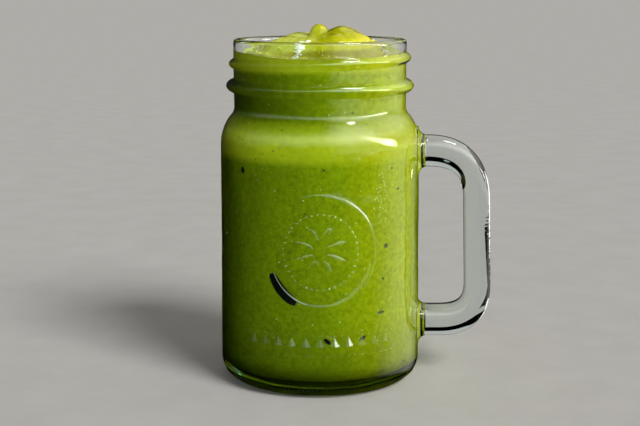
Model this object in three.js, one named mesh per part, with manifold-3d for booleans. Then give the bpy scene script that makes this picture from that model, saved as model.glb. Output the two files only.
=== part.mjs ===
// A clear glass drinking jar with a handle, filled with a thick green smoothie that stands in folds above the rim.
// Millimetres, +Z up. The jar stands on z = 0, its handle points along +X and its medallion faces -Y.
import * as THREE from "three";
import { mergeVertices } from "three/addons/utils/BufferGeometryUtils.js";
import Module from "manifold-3d";

// Jar: body, heel and shoulder
const JAR_HEIGHT = 133;
const HEEL_RADIUS = 39.2;
const HEEL_ROUND = 8;
const FOOT_RING_WIDTH = 3;
const PUSH_UP = 2.5;
const SHOULDER_RADIUS = 38.6;
const SHOULDER_START = 93;
const SHOULDER_ROUND = 17;
const WALL = 3.2;
const FLOOR = 6;
const INNER_HEEL_ROUND = 7;

// Jar: neck, lip, bead and screw thread
const NECK_RADIUS = 33.4;
const NECK_WALL = 3.1;
const NECK_FILLET = 4.5;
const LIP_ROUND = 1.3;
const BEAD_HEIGHT = 115.2;
const BEAD_HALF = 1.9;
const BEAD_REACH = 3;
const THREAD_HEIGHT = 124.8;
const THREAD_PITCH = 5;
const THREAD_TURN = 400;
const THREAD_FADE = 35;
const THREAD_HALF = 1.5;
const THREAD_REACH = 1.8;

// Jar: handle
const HANDLE_TOP = 89.6;
const HANDLE_BOTTOM = 21.6;
const GRIP_TOP_REACH = 61.2;
const GRIP_BOTTOM_REACH = 63;
const HANDLE_TOP_BEND = 19;
const HANDLE_BOTTOM_BEND = 15;
const HANDLE_ROOT = 33;
const HANDLE_HALF_THICK = 5.1;
const ARM_EXTRA = 1;
const HANDLE_HALF_DEPTH = 6.8;
const HANDLE_SQUARENESS = 2.5;
const ROOT_FILLET = 3.5;

// Jar: raised ornament on the front
const MEDALLION_HEIGHT = 56.4;
const MEDALLION_RADIUS = 20.8;
const MEDALLION_HALF_WIDTH = 1.15;
const MEDALLION_RELIEF = 0.9;
const ROSETTE_PETALS = 8;
const ROSETTE_INNER = 4.5;
const ROSETTE_OUTER = 15.5;
const PETAL_HALF_ANGLE = 13;
const PETAL_RELIEF = 0.7;
const LOZENGE_COUNT = 11;
const LOZENGE_SPACING = 5.4;
const LOZENGE_HEIGHT = 21;
const LOZENGE_HALF_WIDTH = 1.5;
const LOZENGE_HALF_TALL = 3;
const LOZENGE_RELIEF = 0.7;
const RELIEF_BEVEL = 0.4;
const RELIEF_SINK = 0.8;

// Smoothie: clearance to the glass, level at the wall and the mound in the middle
const CLEARANCE = 0.3;
const SMOOTHIE_WALL_TOP = 112;
const LEVEL = 126.6;
const LEVEL_RISE = 2;
const MOUND_CENTRE = 0.3;
const MOUND_FOOT = 25;
const MOUND_SIDE_SLOPE = 1.7;
const MOUND_EDGE_BLEND = 2.5;
const BED_CREST = 132.9;
const BED_DROP = 2.5;
const FOLD_BLEND = 1.2;

// Folds of the mound: each runs from one point to another in plan, with a round crest and straight flanks
const FOLDS = [
  { from: [-9.2, -2], to: [-7.6, 8], crest: 135, round: 3.2, slope: 0.72 },
  { from: [-0.6, -3.5], to: [0, 1], crest: 138.6, round: 6, slope: 5.6 },
  { from: [8.2, -6], to: [8.6, 7], crest: 137.6, round: 4.7, slope: 0.7 },
  { from: [-14, -10], to: [-4, -15], crest: 133.5, round: 2.5, slope: 0.9 },
  { from: [5, -15.5], to: [15, -10], crest: 133.8, round: 2.5, slope: 0.9 },
  { from: [-8, 14], to: [7, 15.5], crest: 134.2, round: 3, slope: 0.9 },
];

// Fineness of the facets
const TURN_STEPS = 48;
const MOUND_RINGS = 15;
const HANDLE_STEPS = 36;
const HANDLE_SIDES = 14;
const THREAD_STEPS = 38;
const THREAD_SIDES = 5;
const RING_STEPS = 40;
const RING_SIDES = 6;
const MERGE_DISTANCE = 1e-4;
const WELD_DISTANCE = 0.01;

const DEGREE = Math.PI / 180;
const wasm = await Module();
wasm.setup();

// Closed geometry to solid and back

// Points closer than a distance become one, and triangles that collapse with them are dropped
function welded(geometry, distance) {
  const bare = geometry.clone();
  bare.deleteAttribute("normal");
  bare.deleteAttribute("uv");
  const merged = mergeVertices(bare, distance);
  const index = merged.index.array;
  const triangles = [];
  for (let i = 0; i < index.length; i += 3) {
    const [a, b, c] = index.slice(i, i + 3);
    if (a !== b && b !== c && c !== a) {
      triangles.push(a, b, c);
    }
  }
  return merged.setIndex(triangles);
}

function solidOf(geometry) {
  const closed = welded(geometry, MERGE_DISTANCE);
  const vertProperties = closed.attributes.position.array;
  const triVerts = new Uint32Array(closed.index.array);
  return new wasm.Manifold(new wasm.Mesh({ numProp: 3, vertProperties, triVerts }));
}

function geometryOf(solid) {
  const mesh = solid.getMesh();
  const cut = new THREE.BufferGeometry();
  cut.setAttribute("position", new THREE.BufferAttribute(mesh.vertProperties, 3));
  cut.setIndex(new THREE.BufferAttribute(mesh.triVerts, 1));
  const geometry = welded(cut, WELD_DISTANCE);
  geometry.computeVertexNormals();
  return geometry;
}

// A profile of radius and height turned about the vertical axis
function turned(profile) {
  return new THREE.LatheGeometry(profile, TURN_STEPS).rotateX(Math.PI / 2);
}

// Rings of equal count joined to a skin with closed ends
function lofted(rings) {
  const sides = rings[0].length;
  const points = rings.flat();
  const last = (rings.length - 1) * sides;
  const index = [];
  for (let r = 0; r < last; r += sides) {
    for (let s = 0; s < sides; s += 1) {
      const t = (s + 1) % sides;
      index.push(r + s, r + t, r + sides + s, r + t, r + sides + t, r + sides + s);
    }
  }
  for (let s = 1; s < sides - 1; s += 1) {
    index.push(0, s + 1, s, last, last + s, last + s + 1);
  }
  const geometry = new THREE.BufferGeometry().setFromPoints(points);
  geometry.setIndex(index);
  return geometry;
}

function arc(centreRadius, centreHeight, reachX, reachZ, from, to, steps) {
  const curve = new THREE.EllipseCurve(centreRadius, centreHeight, reachX, reachZ, from, to, to < from);
  return curve.getPoints(steps);
}

// The shoulder turns in by a round arc and runs into the neck by a hollow one
function shoulderArcs(bodyRadius, round, neckRadius, fillet) {
  const centre = bodyRadius - round;
  const turn = Math.acos((neckRadius + fillet - centre) / (round + fillet));
  const filletCentre = centre + (round + fillet) * Math.cos(turn);
  const filletHeight = SHOULDER_START + (round + fillet) * Math.sin(turn);
  return [
    ...arc(centre, SHOULDER_START, round, round, 0, turn, 5),
    ...arc(filletCentre, filletHeight, fillet, fillet, Math.PI + turn, Math.PI, 3).slice(1),
  ];
}

function outsideProfile() {
  const heelCentre = HEEL_RADIUS - HEEL_ROUND;
  const footInner = heelCentre - FOOT_RING_WIDTH;
  const lipStart = JAR_HEIGHT - LIP_ROUND;
  return [
    ...arc(0, 0, footInner, PUSH_UP, Math.PI / 2, 0, 4),
    ...arc(heelCentre, HEEL_ROUND, HEEL_ROUND, HEEL_ROUND, -Math.PI / 2, 0, 6),
    ...shoulderArcs(SHOULDER_RADIUS, SHOULDER_ROUND, NECK_RADIUS, NECK_FILLET),
    ...arc(NECK_RADIUS, BEAD_HEIGHT, BEAD_REACH, BEAD_HALF, -Math.PI / 2, Math.PI / 2, 6),
    ...arc(NECK_RADIUS - LIP_ROUND, lipStart, LIP_ROUND, LIP_ROUND, 0, Math.PI / 2, 3),
    new THREE.Vector2(0, JAR_HEIGHT),
  ];
}

// The inside of the glass up to the neck, drawn in by a clearance
function insideProfile(clearance) {
  const heelRadius = HEEL_RADIUS - WALL - clearance;
  const heelRound = INNER_HEEL_ROUND - clearance;
  const floor = FLOOR + clearance;
  const bore = NECK_RADIUS - NECK_WALL - clearance;
  const shoulderRadius = SHOULDER_RADIUS - WALL - clearance;
  const shoulderRound = SHOULDER_ROUND - WALL - clearance;
  return [
    new THREE.Vector2(0, floor),
    ...arc(heelRadius - heelRound, floor + heelRound, heelRound, heelRound, -Math.PI / 2, 0, 5),
    ...shoulderArcs(shoulderRadius, shoulderRound, bore, NECK_FILLET + NECK_WALL + clearance),
  ];
}

function cavity() {
  const bore = NECK_RADIUS - NECK_WALL;
  const above = JAR_HEIGHT + LIP_ROUND;
  return solidOf(turned([
    ...insideProfile(0),
    ...arc(bore + LIP_ROUND, JAR_HEIGHT - LIP_ROUND, LIP_ROUND, LIP_ROUND, Math.PI, Math.PI / 2, 3),
    new THREE.Vector2(bore + LIP_ROUND, above),
    new THREE.Vector2(0, above),
  ]));
}

// Screw thread: one rounded ridge that climbs round the neck and fades out at both ends
function thread() {
  const rings = [];
  for (let i = 0; i <= THREAD_STEPS; i += 1) {
    const along = THREAD_TURN * (i / THREAD_STEPS - 0.5);
    const toEnd = THREAD_TURN / 2 - Math.abs(along);
    const grown = THREE.MathUtils.smoothstep(toEnd, 0, THREAD_FADE);
    const reach = THREAD_REACH * grown - RELIEF_SINK * (1 - grown) / 2;
    const height = THREAD_HEIGHT + THREAD_PITCH * along / 360;
    const ring = [[-RELIEF_SINK, -THREAD_HALF], [-RELIEF_SINK, THREAD_HALF]];
    for (let s = 0; s <= THREAD_SIDES; s += 1) {
      const turn = Math.PI * (0.5 - s / THREAD_SIDES);
      ring.push([reach * Math.cos(turn), THREAD_HALF * Math.sin(turn)]);
    }
    rings.push(ring.map(([out, up]) => aroundAxis(along * DEGREE, NECK_RADIUS + out, height + up)));
  }
  return solidOf(lofted(rings));
}

// A point at an angle from the front, growing towards +X
function aroundAxis(angle, radius, height) {
  return new THREE.Vector3(radius * Math.sin(angle), -radius * Math.cos(angle), height);
}

function bodyRadiusAt(height) {
  const share = (height - HEEL_ROUND) / (SHOULDER_START - HEEL_ROUND);
  return THREE.MathUtils.lerp(HEEL_RADIUS, SHOULDER_RADIUS, THREE.MathUtils.clamp(share, 0, 1));
}

// Handle: a squared-off round section swept along a bow, its ends flared where they run into the body
function handlePath() {
  const level = (x, z) => new THREE.Vector3(x, 0, z);
  const gripLean = (GRIP_BOTTOM_REACH - GRIP_TOP_REACH) / (HANDLE_TOP - HANDLE_BOTTOM);
  const topBendEnd = level(GRIP_TOP_REACH + gripLean * HANDLE_TOP_BEND, HANDLE_TOP - HANDLE_TOP_BEND);
  const bottomBendStart = level(
    GRIP_BOTTOM_REACH - gripLean * HANDLE_BOTTOM_BEND, HANDLE_BOTTOM + HANDLE_BOTTOM_BEND);
  const topBendStart = level(GRIP_TOP_REACH - HANDLE_TOP_BEND, HANDLE_TOP);
  const bottomBendEnd = level(GRIP_BOTTOM_REACH - HANDLE_BOTTOM_BEND, HANDLE_BOTTOM);
  const path = new THREE.CurvePath();
  path.add(new THREE.LineCurve3(level(HANDLE_ROOT, HANDLE_TOP), topBendStart));
  path.add(new THREE.QuadraticBezierCurve3(topBendStart, level(GRIP_TOP_REACH, HANDLE_TOP), topBendEnd));
  path.add(new THREE.LineCurve3(topBendEnd, bottomBendStart));
  path.add(new THREE.QuadraticBezierCurve3(
    bottomBendStart, level(GRIP_BOTTOM_REACH, HANDLE_BOTTOM), bottomBendEnd));
  path.add(new THREE.LineCurve3(bottomBendEnd, level(HANDLE_ROOT, HANDLE_BOTTOM)));
  return path;
}

function rootFlare(gap) {
  const short = ROOT_FILLET - THREE.MathUtils.clamp(gap, 0, ROOT_FILLET);
  return ROOT_FILLET - Math.sqrt(ROOT_FILLET ** 2 - short ** 2);
}

function squared(value) {
  return Math.sign(value) * Math.abs(value) ** (2 / HANDLE_SQUARENESS);
}

function handle() {
  const path = handlePath();
  const rings = [];
  for (let i = 0; i <= HANDLE_STEPS; i += 1) {
    const even = i / HANDLE_STEPS;
    const along = even - 0.55 * Math.sin(2 * Math.PI * even) / (2 * Math.PI);
    const centre = path.getPointAt(along);
    const heading = path.getTangentAt(along);
    const outward = new THREE.Vector3(-heading.z, 0, heading.x);
    const halfThick = HANDLE_HALF_THICK + ARM_EXTRA * heading.x ** 2;
    const ring = [];
    for (let s = 0; s < HANDLE_SIDES; s += 1) {
      const turn = -2 * Math.PI * s / HANDLE_SIDES;
      const offset = outward.clone().multiplyScalar(halfThick * squared(Math.cos(turn)));
      offset.y = HANDLE_HALF_DEPTH * squared(Math.sin(turn));
      const bare = centre.clone().add(offset);
      const gap = Math.hypot(bare.x, bare.y) - bodyRadiusAt(bare.z);
      ring.push(centre.clone().add(offset.setLength(offset.length() + rootFlare(gap))));
    }
    rings.push(ring);
  }
  return solidOf(lofted(rings));
}

// Flat relief, x across, y up and z outward, laid round the body with its middle at a height
function onWall(geometry, height) {
  const points = geometry.attributes.position;
  for (let i = 0; i < points.count; i += 1) {
    const z = height + points.getY(i);
    const radius = bodyRadiusAt(z);
    const point = aroundAxis(points.getX(i) / radius, radius + points.getZ(i), z);
    points.setXYZ(i, point.x, point.y, point.z);
  }
  return solidOf(geometry);
}

function medallionRing() {
  const ring = new THREE.TorusGeometry(MEDALLION_RADIUS, MEDALLION_HALF_WIDTH, RING_SIDES, RING_STEPS);
  return onWall(ring.translate(0, 0, MEDALLION_RELIEF - MEDALLION_HALF_WIDTH), MEDALLION_HEIGHT);
}

function raised(shape, relief) {
  const depth = RELIEF_SINK + relief - RELIEF_BEVEL;
  const bevel = { bevelSize: RELIEF_BEVEL, bevelThickness: RELIEF_BEVEL, bevelSegments: 1 };
  const geometry = new THREE.ExtrudeGeometry(shape, { depth, curveSegments: 3, ...bevel });
  return geometry.translate(0, 0, -RELIEF_SINK);
}

function petal(direction) {
  const half = PETAL_HALF_ANGLE * DEGREE;
  const tip = ROSETTE_OUTER * Math.sin(half);
  const shape = new THREE.Shape();
  shape.moveTo(ROSETTE_INNER, 0);
  shape.lineTo(ROSETTE_OUTER * Math.cos(half) - tip, -tip);
  shape.absarc(ROSETTE_OUTER - tip, 0, tip, -Math.PI / 2, Math.PI / 2, false);
  return onWall(raised(shape, PETAL_RELIEF).rotateZ(direction), MEDALLION_HEIGHT);
}

function lozenge(across) {
  const shape = new THREE.Shape();
  shape.moveTo(LOZENGE_HALF_WIDTH, 0);
  shape.lineTo(0, LOZENGE_HALF_TALL);
  shape.lineTo(-LOZENGE_HALF_WIDTH, 0);
  shape.lineTo(0, -LOZENGE_HALF_TALL);
  return onWall(raised(shape, LOZENGE_RELIEF).translate(across, 0, 0), LOZENGE_HEIGHT);
}

function jar() {
  let glass = solidOf(turned(outsideProfile())).add(thread()).add(handle()).add(medallionRing());
  for (let i = 0; i < ROSETTE_PETALS; i += 1) {
    glass = glass.add(petal(2 * Math.PI * (i + 0.5) / ROSETTE_PETALS));
  }
  for (let i = 0; i < LOZENGE_COUNT; i += 1) {
    glass = glass.add(lozenge(LOZENGE_SPACING * (i - (LOZENGE_COUNT - 1) / 2)));
  }
  return geometryOf(glass.subtract(cavity()));
}

// Height of the smoothie's surface over a point of the mouth

function smoothMax(a, b, blend) {
  const near = Math.max(blend - Math.abs(a - b), 0) / blend;
  return Math.max(a, b) + near * near * blend / 4;
}

function foldHeight(fold, x, y) {
  const [startX, startY] = fold.from;
  const runX = fold.to[0] - startX;
  const runY = fold.to[1] - startY;
  const share = ((x - startX) * runX + (y - startY) * runY) / (runX ** 2 + runY ** 2);
  const along = THREE.MathUtils.clamp(share, 0, 1);
  const away = Math.hypot(x - startX - along * runX, y - startY - along * runY);
  return fold.crest - fold.slope * (Math.hypot(away, fold.round) - fold.round);
}

function surfaceHeight(x, y) {
  const fromCentre = Math.hypot(x - MOUND_CENTRE, y);
  const bed = BED_CREST - BED_DROP * (fromCentre / MOUND_FOOT) ** 2;
  const crest = FOLDS.reduce((height, fold) => smoothMax(height, foldHeight(fold, x, y), FOLD_BLEND), bed);
  const side = LEVEL + MOUND_SIDE_SLOPE * (MOUND_FOOT - fromCentre);
  const mound = -smoothMax(-crest, -side, MOUND_EDGE_BLEND);
  const leftward = Math.max(0, -x) / Math.max(Math.hypot(x, y), 1);
  return smoothMax(mound, LEVEL + LEVEL_RISE * leftward ** 2, FOLD_BLEND);
}

function smoothie() {
  const bore = NECK_RADIUS - NECK_WALL - CLEARANCE;
  const profile = [...insideProfile(CLEARANCE), new THREE.Vector2(bore, SMOOTHIE_WALL_TOP)];
  for (let i = MOUND_RINGS; i >= 0; i -= 1) {
    profile.push(new THREE.Vector2(bore * i / MOUND_RINGS, LEVEL));
  }
  const geometry = turned(profile);
  const points = geometry.attributes.position;
  for (let i = 0; i < points.count; i += 1) {
    if (points.getZ(i) > SMOOTHIE_WALL_TOP + CLEARANCE) {
      points.setZ(i, surfaceHeight(points.getX(i), points.getY(i)));
    }
  }
  return geometryOf(solidOf(geometry));
}

function named(name, geometry, material) {
  const mesh = new THREE.Mesh(geometry, material);
  mesh.name = name;
  return mesh;
}

const glassMaterial = new THREE.MeshStandardMaterial({
  color: 0xdfeae2, roughness: 0.04, metalness: 0, transparent: true, opacity: 0.35,
});
const smoothieMaterial = new THREE.MeshStandardMaterial({ color: 0x8fa51c, roughness: 0.3, metalness: 0 });

// The origin lies under the middle of the whole object, handle included
const handleReach = GRIP_BOTTOM_REACH + HANDLE_HALF_THICK;
const filledJar = new THREE.Group();
filledJar.position.x = (HEEL_RADIUS - handleReach) / 2;
filledJar.add(named("jar", jar(), glassMaterial));
filledJar.add(named("smoothie", smoothie(), smoothieMaterial));

export default filledJar;
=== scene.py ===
"""The looks of a green smoothie in a handled glass jar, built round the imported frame. Metres, +Z up."""

import math

import bpy
import numpy as np
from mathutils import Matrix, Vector


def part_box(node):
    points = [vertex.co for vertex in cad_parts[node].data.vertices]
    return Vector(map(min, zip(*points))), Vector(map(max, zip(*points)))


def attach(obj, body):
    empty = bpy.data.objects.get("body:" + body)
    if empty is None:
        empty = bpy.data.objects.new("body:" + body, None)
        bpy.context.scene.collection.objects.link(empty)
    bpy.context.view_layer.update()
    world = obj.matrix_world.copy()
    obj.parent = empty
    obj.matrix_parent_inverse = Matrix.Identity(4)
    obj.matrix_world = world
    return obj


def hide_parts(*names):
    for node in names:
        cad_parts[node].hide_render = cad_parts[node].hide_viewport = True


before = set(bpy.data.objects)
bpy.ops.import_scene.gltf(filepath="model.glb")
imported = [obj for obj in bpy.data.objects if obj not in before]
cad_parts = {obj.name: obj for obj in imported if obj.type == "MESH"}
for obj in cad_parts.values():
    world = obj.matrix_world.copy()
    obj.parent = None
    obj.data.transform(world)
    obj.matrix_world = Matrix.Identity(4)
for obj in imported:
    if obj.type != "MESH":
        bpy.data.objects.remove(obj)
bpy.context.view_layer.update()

# What the lamps light, and what the floor's own light does
PIECES = bpy.data.collections.new("pieces")
STAGE = bpy.data.collections.new("stage")

MM = 0.001
TURN = 2 * math.pi
SAME_POINT = 1e-7

# Seeds of the random draws
GLASS_SEED = 3
FINE_GLASS_SEED = 4
CHILL_SEED = 5
TOP_SEED = 11
FINE_TOP_SEED = 12
STREAK_SEED = 17
BUBBLE_SEED = 21
SPECK_SEED = 31
FROTH_SEED = 41

# Unevenness: how many waves add up to it and the spread of their lengths
RIPPLE_WAVES = 14
RIPPLE_LENGTHS = (0.7, 1.5)

# Sides and rings of the balls that small shapes are made from
PEARL_BALL = (16, 10)
PETAL_BALL = (24, 16)
LOZENGE_BALL = (4, 2)
DOT_BALL = (12, 8)
FOOT_DOT_BALL = (10, 6)
BUBBLE_BALL = (14, 8)
SPECK_BALL = (8, 6)
FROTH_BALL = (10, 6)
ROOM_BALL = (48, 24)

# Jar outside, its main sizes and axis taken from the frame
jar_low, jar_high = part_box("jar")
JAR_HEIGHT = jar_high.z
HEEL_RADIUS = jar_high.y
AXIS = np.array([jar_low.x + HEEL_RADIUS, 0, 0])
HEEL_ROUND = 8 * MM
FOOT_RING_WIDTH = 3 * MM
PUSH_UP = 2.5 * MM
SHOULDER_RADIUS = HEEL_RADIUS - 0.6 * MM
SHOULDER_START = 93 * MM
SHOULDER_ROUND = 17 * MM
WALL = 3.2 * MM
JAR_FLOOR = 6 * MM
INNER_HEEL_ROUND = 7 * MM
JAR_SIDES = 240
GLASS_WAVE = 0.05 * MM
GLASS_WAVE_LENGTH = 17 * MM
FINE_GLASS_WAVE = 0.01 * MM
FINE_GLASS_WAVE_LENGTH = 5.5 * MM
GLASS_SHARP_ANGLE = math.radians(28)

# Steps along the jar's outlines
PUSH_UP_STEPS = 12
SHORT_STEPS = 3
HEEL_STEPS = 22
BODY_STEPS = 48
SHOULDER_STEPS = 18
NECK_STEPS = 6
BEAD_STEPS = 30
BEAD_TO_THREAD_STEPS = 4
THREAD_STEPS = 44
LIP_STEPS = 7
BORE_STEPS = 6
INNER_HEEL_STEPS = 12
INNER_BODY_STEPS = 20
INNER_SHOULDER_STEPS = 16
INNER_FLOOR_STEPS = 6
INNER_FLOOR_HOLE = 1 / 8

# Jar neck
NECK_RADIUS = 33.4 * MM
NECK_WALL = 3.1 * MM
NECK_FILLET = 4.5 * MM
LIP_ROUND = 1.3 * MM
BEAD_HEIGHT = 115.2 * MM
BEAD_HALF = 2.7 * MM
BEAD_REACH = 3 * MM
BEAD_POWER = 0.75
THREAD_HEIGHT = 124.8 * MM
THREAD_PITCH = 5 * MM
THREAD_TURN = math.radians(400)
THREAD_FADE = math.radians(35)
THREAD_HALF = 2.1 * MM
THREAD_REACH = 1.8 * MM
THREAD_POWER = 1

# Jar handle
HANDLE_TOP = 89.6 * MM
HANDLE_BOTTOM = 21.6 * MM
GRIP_TOP_REACH = 61.2 * MM
GRIP_BOTTOM_REACH = 63 * MM
HANDLE_TOP_BEND = 19 * MM
HANDLE_BOTTOM_BEND = 15 * MM
ARM_PLANE = 42 * MM
HANDLE_HALF_THICK = 5.1 * MM
ARM_EXTRA = 1 * MM
HANDLE_HALF_DEPTH = 6.8 * MM
HANDLE_SQUARENESS = 3
HANDLE_SIDES = 44
ROOT_FILLET = 3.4 * MM
ROOT_DEPTH = WALL / 2
ARM_RINGS = 22
ARM_CROWDING = 1.4
TOP_ARM_STEPS = 2
TOP_BEND_STEPS = 50
GRIP_STEPS = 110
BOTTOM_BEND_STEPS = 40
BOTTOM_ARM_STEPS = 6
CHILL_WAVE = 0.035 * MM
CHILL_WAVE_LENGTH = 1.3 * MM
CHILL_STRETCH = 4

# Jar ornament
MEDALLION_HEIGHT = 56.4 * MM
MEDALLION_RADIUS = 20.8 * MM
MEDALLION_HALF_WIDTH = 1.5 * MM
RING_POWER = 1.5
RING_SIDES = 220
RING_STEPS = 22
RELIEF_SINK = 0.03 * MM
RELIEF_ROOT = 0.8 * MM
PEARL_CIRCLE = 14.2 * MM
PEARL_COUNT = 40
PEARL_RADIUS = 0.75 * MM
PEARL_RELIEF = 0.5 * MM
ROSETTE_PETALS = 8
ORNAMENT_SINK = 0.6
PETAL_REACH = 6.4 * MM
PETAL_HALF_LENGTH = 3.6 * MM
PETAL_HALF_WIDTH = 1.7 * MM
PETAL_RELIEF = 0.45 * MM
LOZENGE_COUNT = 11
LOZENGE_SPACING = 5.4 * MM
LOZENGE_HEIGHT = 21 * MM
LOZENGE_HALF_WIDTH = 1.9 * MM
LOZENGE_HALF_TALL = 3.4 * MM
LOZENGE_RELIEF = 1.15 * MM
BAND_DOT_COUNT = 23
BAND_DOT_SPACING = 2.7 * MM
BAND_DOT_RISE = 3.9 * MM
BAND_DOT_RADIUS = 0.6 * MM
BAND_DOT_SINK = BAND_DOT_RADIUS / 3
FOOT_DOT_RADIUS = 0.5 * MM
FOOT_DOT_SINK = FOOT_DOT_RADIUS / 3
FOOT_DOT_SPACING = 1.8 * MM
FOOT_DOT_TURN = math.radians(54)

# Relief of the medallion's ring round its circle: degrees from the right, upwards, and millimetres
RING_RELIEF = [
    (0, 0.24), (25, 0.32), (55, 0.42), (85, 0.34), (115, 0.16), (165, 0.10),
    (205, 0.18), (230, 0.34), (270, 0.38), (310, 0.34), (340, 0.26), (360, 0.24),
]

# Smoothie
WALL_BITE = 0.15 * MM
LEVEL = 126.6 * MM
LEVEL_RISE = 2 * MM
MOUND_CENTRE = 0.3 * MM
MOUND_FOOT = 25 * MM
MOUND_SIDE_SLOPE = 1.7
MOUND_EDGE_BLEND = 2.5 * MM
BED_CREST = 132.9 * MM
BED_DROP = 2.5 * MM
FOLD_BLEND = 4.5 * MM
NUB_BLEND = 1 * MM
TOP_WAVE = 0.07 * MM
TOP_WAVE_LENGTH = 6 * MM
FINE_TOP_WAVE = 0.03 * MM
FINE_TOP_WAVE_LENGTH = 2 * MM
SMOOTHIE_SHARP_ANGLE = math.radians(40)
DRINK_FRONT = math.radians(62)
DRINK_FRONT_SIDES = 150
DRINK_OTHER_SIDES = 110
DRINK_BODY_STEPS = 60
DRINK_NECK_STEPS = 24
DRINK_TOP_STEPS = 65

# Nub in the middle of the mound: start and end in plan (mm)
NUB_START = (-0.6, -3.5)
NUB_END = (0, 1)
NUB_TOP = 138.6 * MM
NUB_RADIUS = 3.2 * MM
NUB_ROUND_SHARE = 0.96

# Folds of the mound: start and end in plan, crest height, crest round (mm) and flank slope
FOLDS = [
    ((-9.2, -2), (-7.6, 8), 135, 3.2, 0.72),
    ((8.2, -6), (8.6, 7), 137.6, 4.7, 0.7),
    ((-14, -10), (-4, -15), 133.5, 2.5, 0.9),
    ((5, -15.5), (15, -10), 133.8, 2.5, 0.9),
    ((-8, 14), (7, 15.5), 134.2, 3, 0.9),
]

# Colours of the drink: place on the mottling and colour
GREEN = [(0.36, (0.26, 0.345, 0.003)), (0.5, (0.34, 0.43, 0.005)), (0.64, (0.42, 0.51, 0.009))]
# Colour of painted shade
PAINTED_SHADE_GREEN = [(0.36, (0.075, 0.12, 0.001)), (0.64, (0.115, 0.17, 0.002))]
# Colour of painted light
PAINTED_LIGHT_GREEN = [(0.36, (0.80, 0.87, 0.01)), (0.64, (0.96, 0.96, 0.04))]
YELLOW_GREEN = [(0.36, (0.28, 0.28, 0.002)), (0.5, (0.33, 0.32, 0.003)), (0.64, (0.38, 0.37, 0.006))]
# Colour of froth and painted sheen
FROTH_AND_SHEEN_GREEN = [(0.36, (0.48, 0.51, 0.05)), (0.64, (0.62, 0.64, 0.15))]

# Layers over the first colour, on the side painted shade and painted light: a colour, and shares that
# multiply: axis, span along it and stops over it
LEFT_TO_RIGHT = ("X", (AXIS[0] - 40 * MM, AXIS[0] + 40 * MM))
SHOULDER_TO_TOP = ("Z", (84 * MM, 128 * MM))
SIDE_LAYERS = [
    # Painted shade: the drink darker towards the bottom, where the heel is shadowed
    (PAINTED_SHADE_GREEN, [("Z", (6 * MM, 30 * MM), [(0.1, 0.5), (0.5, 0.3), (1, 0)])]),
    # Painted shade: darker on the left of the neck, under the bead
    (PAINTED_SHADE_GREEN, [
        (*SHOULDER_TO_TOP, [(0.39, 0), (0.5, 0.9), (0.66, 0.9), (0.7, 0.6), (0.82, 0.6), (0.86, 0)]),
        (*LEFT_TO_RIGHT, [(0.15, 1), (0.4, 0.55), (0.58, 0)]),
    ]),
    # Painted light: a paler band round the shoulder where overhead light comes down through the thick glass,
    # strongest on the left, and a paler strip under the top
    (PAINTED_LIGHT_GREEN, [
        (*SHOULDER_TO_TOP, [
            (0.08, 0), (0.15, 0.8), (0.23, 1), (0.32, 0.9), (0.37, 0.45), (0.45, 0),
            (0.84, 0), (0.88, 0.7), (0.93, 0.7),
        ]),
        (*LEFT_TO_RIGHT, [(0, 1), (0.3, 1), (0.5, 0.75), (0.65, 0.4), (0.85, 0.2), (1, 0.1)]),
    ]),
]
TOP_LAYERS = [
    # Partly froth, partly painted sheen: the top paler on its left
    (FROTH_AND_SHEEN_GREEN, [("X", (AXIS[0] - 25 * MM, AXIS[0] + 25 * MM), [(0.1, 0.8), (0.38, 0.6), (0.5, 0)])]),
]

# Finish of the drink behind the glass and on top: roughness and specular level
SIDE_FINISH = (0.6, 0.0)
TOP_FINISH = (0.14, 0.2)

# Mottling: scale, detail and roughness of its noise, and the places of two colours on it
DRINK_MOTTLE = (560, 8, 0.72)
LAYER_MOTTLE = (480, 8, 0.72)
SMALL_MOTTLE = (260, 3, 0.5)
FLOOR_MOTTLE = (40, 6, 0.6)
MOTTLE_ENDS = (0.35, 0.65)

# Materials of small things: darker and lighter colour, and roughness
SMALL_MATERIALS = {
    # Painted shade: the walls of bubbles darker than the drink round them
    "shaded_bubble_wall": ((0.05, 0.09, 0.002), (0.10, 0.15, 0.004), 0.25),
    # Painted highlights: pale walls of fine bubbles that stand in for their glints
    "glint_bubble_wall": ((0.50, 0.56, 0.06), (0.72, 0.75, 0.25), 0.3),
    # Painted shade: near black walls of air pockets
    "shaded_pocket_wall": ((0.001, 0.003, 0.001), (0.003, 0.006, 0.001), 0.8),
    "leaf": ((0.02, 0.05, 0.003), (0.07, 0.13, 0.006), 0.5),
    # Painted highlights: white for glints along the pocket and down the mound
    "glint_white": ((0.80, 0.84, 0.60), (0.92, 0.94, 0.80), 0.3),
    "froth": ((0.50, 0.56, 0.06), (0.66, 0.70, 0.20), 0.2),
}

# Glass: its colour, its refraction and the green that shows through its thickness
GLASS_COLOUR = (0.97, 0.99, 0.98, 1)
GLASS_IOR = 1.5
GLASS_TINT = (0.15, 0.63, 0.4, 1)
GLASS_TINT_DENSITY = 8

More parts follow.
